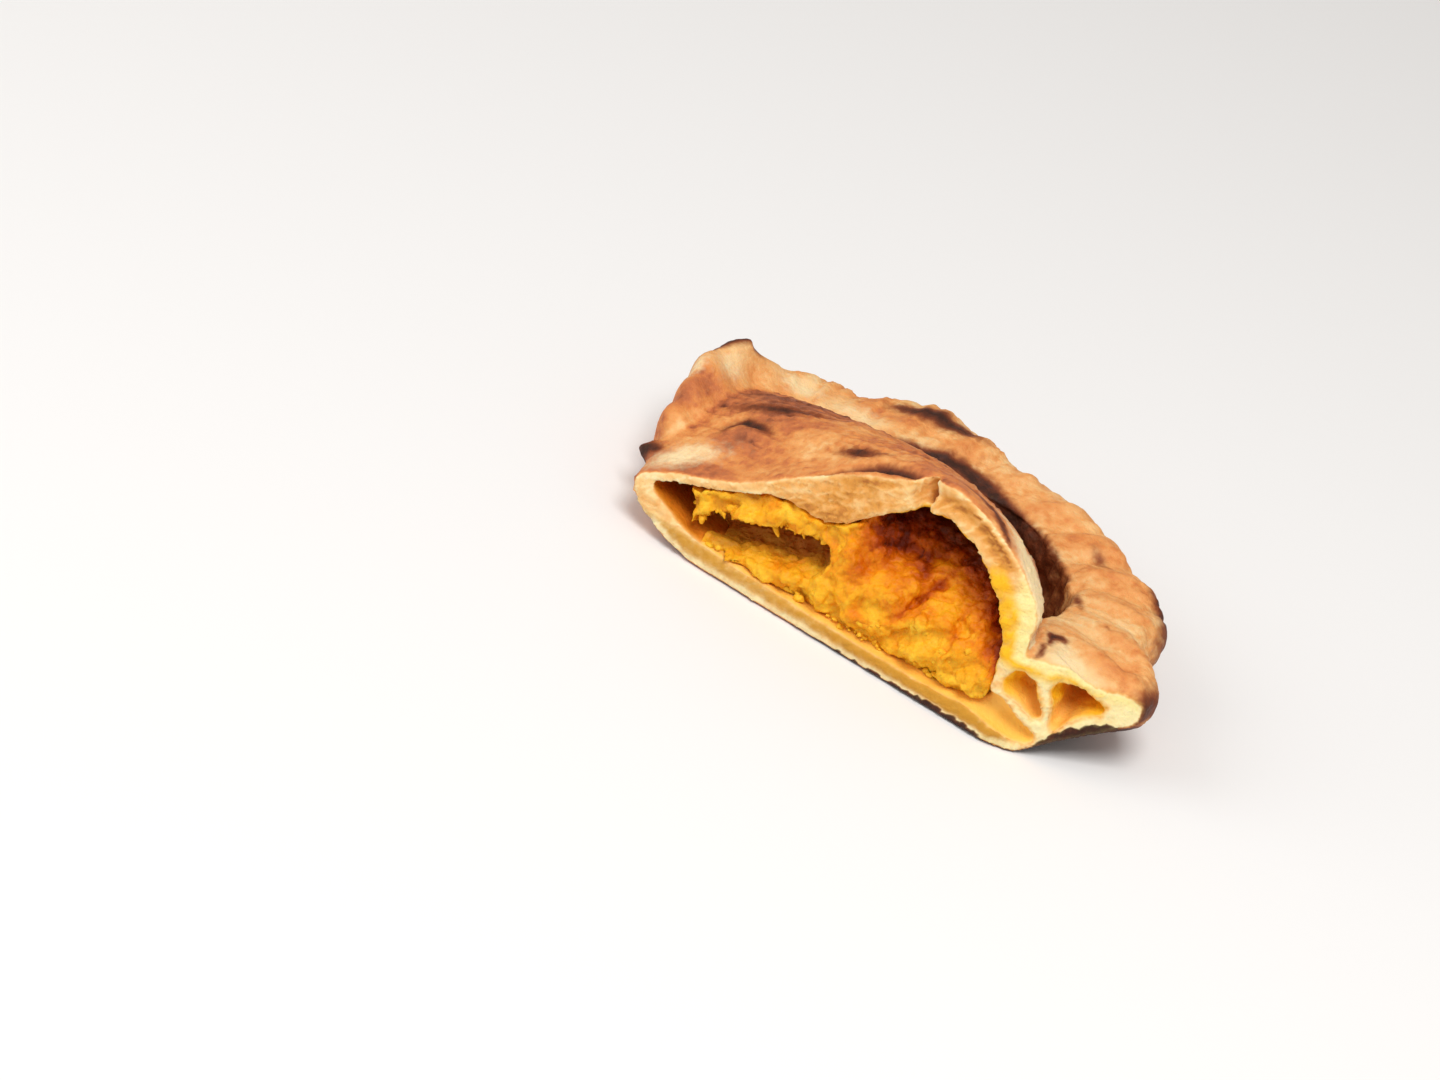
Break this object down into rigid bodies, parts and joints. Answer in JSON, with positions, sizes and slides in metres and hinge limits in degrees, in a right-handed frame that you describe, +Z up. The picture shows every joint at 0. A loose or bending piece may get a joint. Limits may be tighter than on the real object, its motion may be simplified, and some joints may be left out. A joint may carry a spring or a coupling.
{
  "type": "cheddar cheese turnover half",
  "caption": "Half of a baked folded dough turnover with a rolled rope rim, cut across to show its melted cheddar filling.",
  "frame": {"origin": "on the flat underside, near the middle of the half turnover's footprint, where it rests", "axes": "+X along the cut face from the fold to the rolled rim, +Y from the cut face towards the closed end, +Z up"},
  "size_m": [0.1249, 0.0706, 0.0424],
  "materials": {
    "baked_dough": "matte baked dough, golden brown with darker scorched spots",
    "melted_cheddar": "moist crumbly melted cheddar, orange yellow"
  },
  "bodies": {
    "root": {"crust": "baked_dough", "cheese_filling": "melted_cheddar"}
  },
  "joints": []
}
